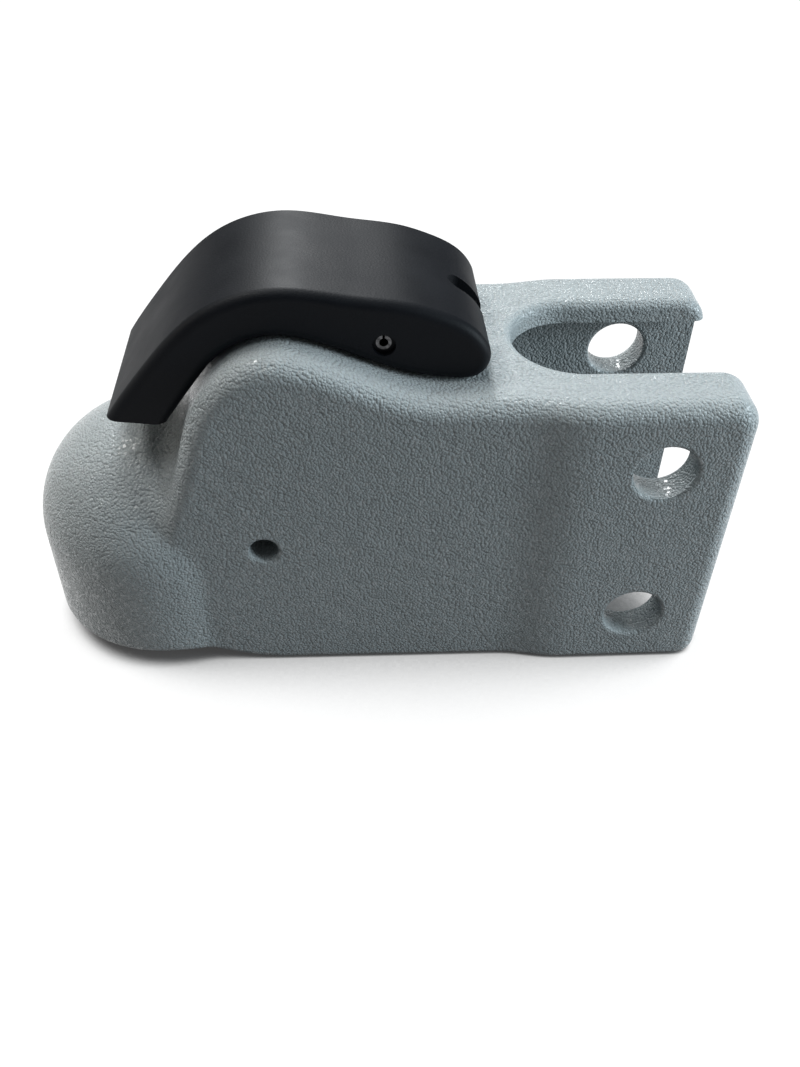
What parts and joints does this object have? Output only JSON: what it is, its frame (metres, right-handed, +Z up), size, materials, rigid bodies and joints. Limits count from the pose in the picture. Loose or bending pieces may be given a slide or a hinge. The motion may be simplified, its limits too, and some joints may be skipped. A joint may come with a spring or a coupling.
{
  "type": "trailer ball coupler head",
  "caption": "Cast trailer coupler head: a ball dome with a sprung wedge latch lifted by an arched black handle, and a slotted rear clevis that bolts to a drawbar channel.",
  "frame": {"origin": "the centre of the hitch ball's place in the socket", "axes": "+X to the rear, towards the trailer; +Y across, along the bolts; +Z up"},
  "size_m": [0.2387, 0.0872, 0.1433],
  "materials": {
    "cast_paint": "grey enamel over a sand-cast skin",
    "latch_steel": "bare cast steel",
    "spring_steel": "oiled spring wire",
    "plated_steel": "zinc plated",
    "handle_plastic": "matte black moulding",
    "pin_steel": "blackened spring steel"
  },
  "bodies": {
    "body": {"coupler_body": "cast_paint", "latch_spring": "spring_steel", "spring_washer": "plated_steel"},
    "latch": {"ball_latch": "latch_steel"},
    "handle": {"latch_handle": "handle_plastic", "handle_roll_pin": "pin_steel"}
  },
  "joints": [
    {"name": "latch_slide", "type": "slide", "parent": "body", "child": "latch", "axis": [0.4932, 0, 0.8699], "range_m": [0, 0.01533], "stiffness_N_per_m": 3000, "springref_m": -0.02, "deforming": ["latch_spring"]},
    {"name": "handle_lift", "type": "hinge", "parent": "body", "child": "handle", "pos_m": [0.105, 0, 0.0815], "axis": [0, 1, 0], "range_deg": [0, 34.2]}
  ],
  "couplings": [
    {"joint": "handle_lift", "follows": "latch_slide", "rad_per_m": 38.694}
  ]
}
